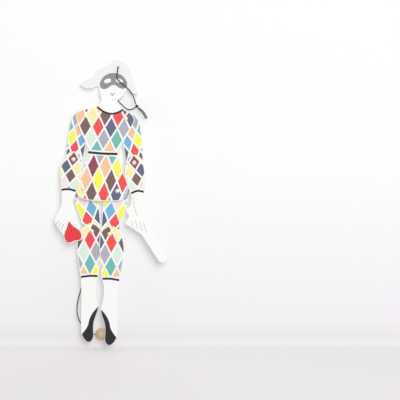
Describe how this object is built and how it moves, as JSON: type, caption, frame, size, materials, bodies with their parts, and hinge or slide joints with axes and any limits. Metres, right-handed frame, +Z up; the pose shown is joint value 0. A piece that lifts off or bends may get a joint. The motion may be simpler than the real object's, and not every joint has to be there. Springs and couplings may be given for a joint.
{
  "type": "wooden marionette",
  "caption": "Flat wooden jumping jack puppet of a masked clown in lozenge motley, with riveted limbs, a hanging loop and a pull cord with a bead.",
  "frame": {"origin": "centre of the hanging hole in the hat, half way through the body board", "axes": "+X towards the viewer's right, +Y towards the back, +Z up"},
  "size_m": [0.1414, 0.0317, 0.3573],
  "materials": {
    "painted_board": "white paint, printed and varnished",
    "rivet_brass": "polished",
    "cord": "matt braid",
    "bead_wood": "smooth, unpainted"
  },
  "bodies": {
    "body": {"body_board": "painted_board", "hanging_strand_front": "cord", "hanging_strand_rear": "cord", "hanging_knot": "cord", "hanging_upper_end": "cord", "hanging_lower_end": "cord", "left_shoulder_rivet": "rivet_brass", "left_shoulder_rivet_cap": "rivet_brass", "left_shoulder_washer": "rivet_brass", "left_hip_rivet": "rivet_brass", "left_hip_rivet_cap": "rivet_brass", "left_hip_spacer": "rivet_brass", "right_shoulder_rivet": "rivet_brass", "right_shoulder_rivet_cap": "rivet_brass", "right_shoulder_washer": "rivet_brass", "right_hip_rivet": "rivet_brass", "right_hip_rivet_cap": "rivet_brass", "right_hip_spacer": "rivet_brass"},
    "left_upper_arm": {"left_upper_arm": "painted_board", "left_elbow_rivet": "rivet_brass", "left_elbow_rivet_cap": "rivet_brass", "left_elbow_spacer": "rivet_brass", "left_arm_tie_knot": "cord"},
    "left_forearm": {"left_forearm": "painted_board"},
    "left_thigh": {"left_thigh": "painted_board", "left_knee_rivet": "rivet_brass", "left_knee_rivet_cap": "rivet_brass", "left_leg_tie_knot": "cord"},
    "left_lower_leg": {"left_lower_leg": "painted_board"},
    "right_upper_arm": {"right_upper_arm": "painted_board", "right_elbow_rivet": "rivet_brass", "right_elbow_rivet_cap": "rivet_brass", "right_elbow_spacer": "rivet_brass", "right_arm_tie_knot": "cord"},
    "right_forearm": {"right_forearm": "painted_board"},
    "right_thigh": {"right_thigh": "painted_board", "right_knee_rivet": "rivet_brass", "right_knee_rivet_cap": "rivet_brass", "right_leg_tie_knot": "cord"},
    "right_lower_leg": {"right_lower_leg": "painted_board"},
    "pull": {"left_arm_link": "cord", "left_leg_link": "cord", "right_arm_link": "cord", "right_leg_link": "cord", "arm_link_knot": "cord", "leg_link_knot": "cord", "upper_pull_cord": "cord", "pull_cord": "cord", "pull_bead": "bead_wood", "pull_bead_knot": "cord"}
  },
  "joints": [
    {"name": "left_shoulder", "type": "hinge", "parent": "body", "child": "left_upper_arm", "pos_m": [-0.04131, 0, -0.06027], "axis": [0, 1, 0], "range_deg": [0, 80]},
    {"name": "left_elbow", "type": "hinge", "parent": "left_upper_arm", "child": "left_forearm", "pos_m": [-0.05495, 0, -0.11458], "axis": [0, 1, 0], "range_deg": [-18, 75]},
    {"name": "left_hip", "type": "hinge", "parent": "body", "child": "left_thigh", "pos_m": [-0.04363, 0, -0.15082], "axis": [0, 1, 0], "range_deg": [0, 64.7]},
    {"name": "left_knee", "type": "hinge", "parent": "left_thigh", "child": "left_lower_leg", "pos_m": [-0.03323, 0, -0.20432], "axis": [0, 1, 0], "range_deg": [-60, 75]},
    {"name": "right_shoulder", "type": "hinge", "parent": "body", "child": "right_upper_arm", "pos_m": [0.00957, 0, -0.06382], "axis": [0, -1, 0], "range_deg": [0, 80]},
    {"name": "right_elbow", "type": "hinge", "parent": "right_upper_arm", "child": "right_forearm", "pos_m": [0.02035, 0, -0.11878], "axis": [0, -1, 0], "range_deg": [-18, 75]},
    {"name": "right_hip", "type": "hinge", "parent": "body", "child": "right_thigh", "pos_m": [-0.00073, 0, -0.15382], "axis": [0, -1, 0], "range_deg": [0, 64.7]},
    {"name": "right_knee", "type": "hinge", "parent": "right_thigh", "child": "right_lower_leg", "pos_m": [-0.01038, 0, -0.20746], "axis": [0, -1, 0], "range_deg": [-60, 75]},
    {"name": "pull", "type": "slide", "parent": "body", "child": "pull", "axis": [0, 0, -1], "range_m": [0, 0.01286], "deforming": ["left_arm_link", "left_leg_link", "right_arm_link", "right_leg_link"]}
  ],
  "couplings": [
    {"joint": "left_hip", "follows": "right_hip", "ratio": 1},
    {"joint": "left_shoulder", "follows": "right_hip", "ratio": 1.235},
    {"joint": "right_shoulder", "follows": "right_hip", "ratio": 1.235},
    {"joint": "pull", "follows": "right_hip", "m_per_rad": 0.011371}
  ]
}
